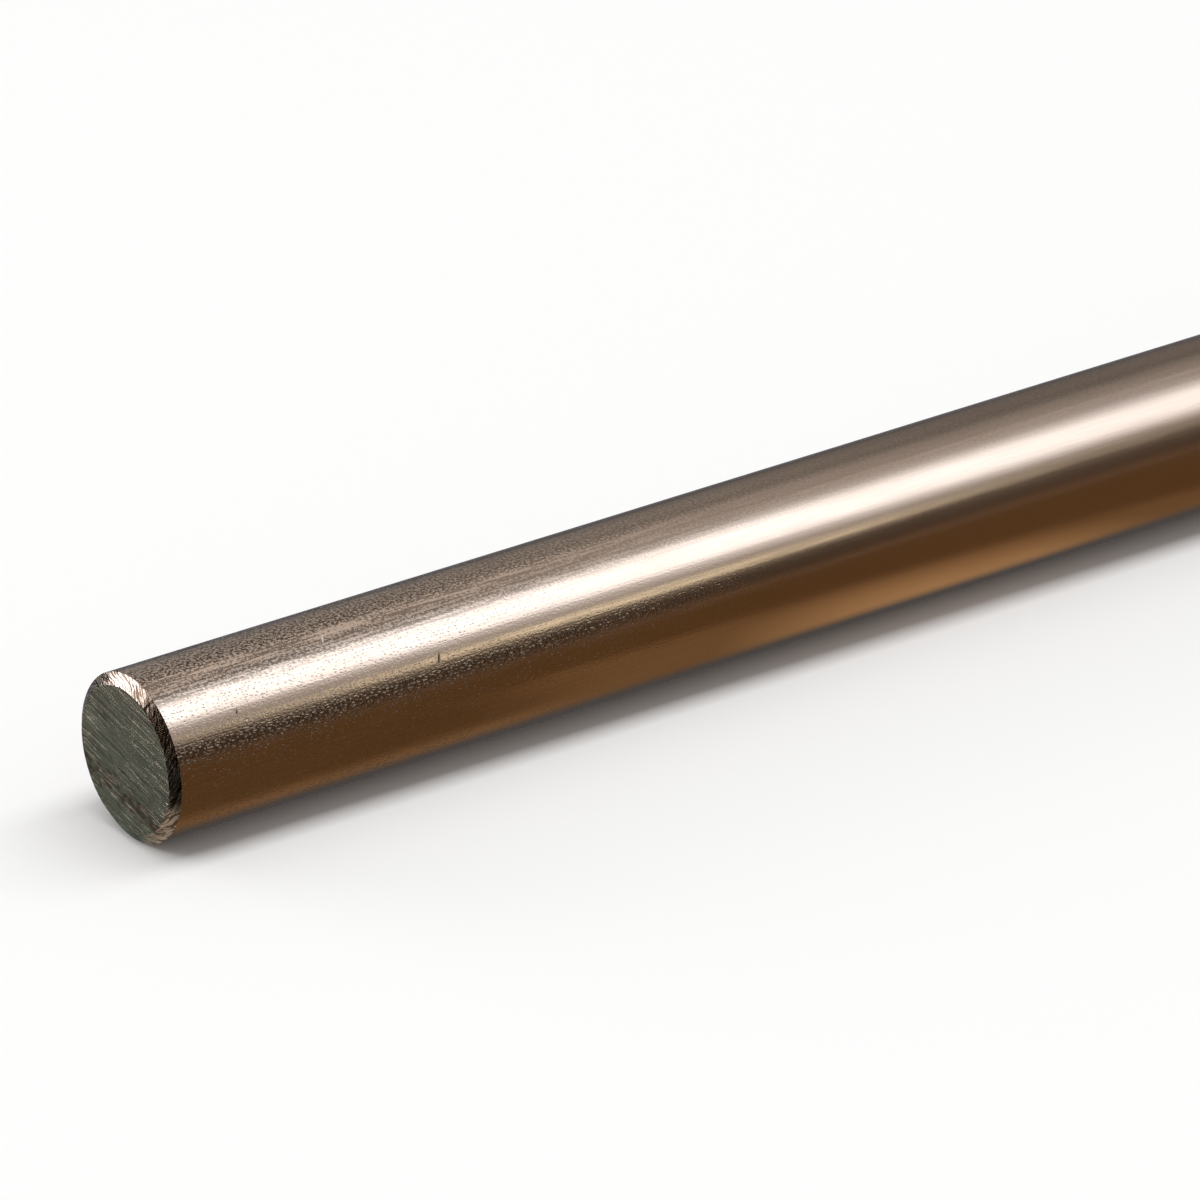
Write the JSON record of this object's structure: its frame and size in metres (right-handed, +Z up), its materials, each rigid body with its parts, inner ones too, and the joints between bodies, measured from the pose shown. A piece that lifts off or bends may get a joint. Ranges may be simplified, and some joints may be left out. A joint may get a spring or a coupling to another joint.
{
  "type": "round metal bar",
  "caption": "Solid round bar stock in a bronze-coloured copper alloy, sawn square and chamfered at both ends, to be cut, turned or used as a shaft or pin.",
  "frame": {"origin": "on the surface that the bar lies on, under the middle of its length", "axes": "+X along the bar's axis, from the near sawn end to the far one; +Z up"},
  "size_m": [0.3, 0.01, 0.01],
  "materials": {
    "bronze": "satin"
  },
  "bodies": {
    "root": {"round_bar": "bronze"}
  },
  "joints": []
}
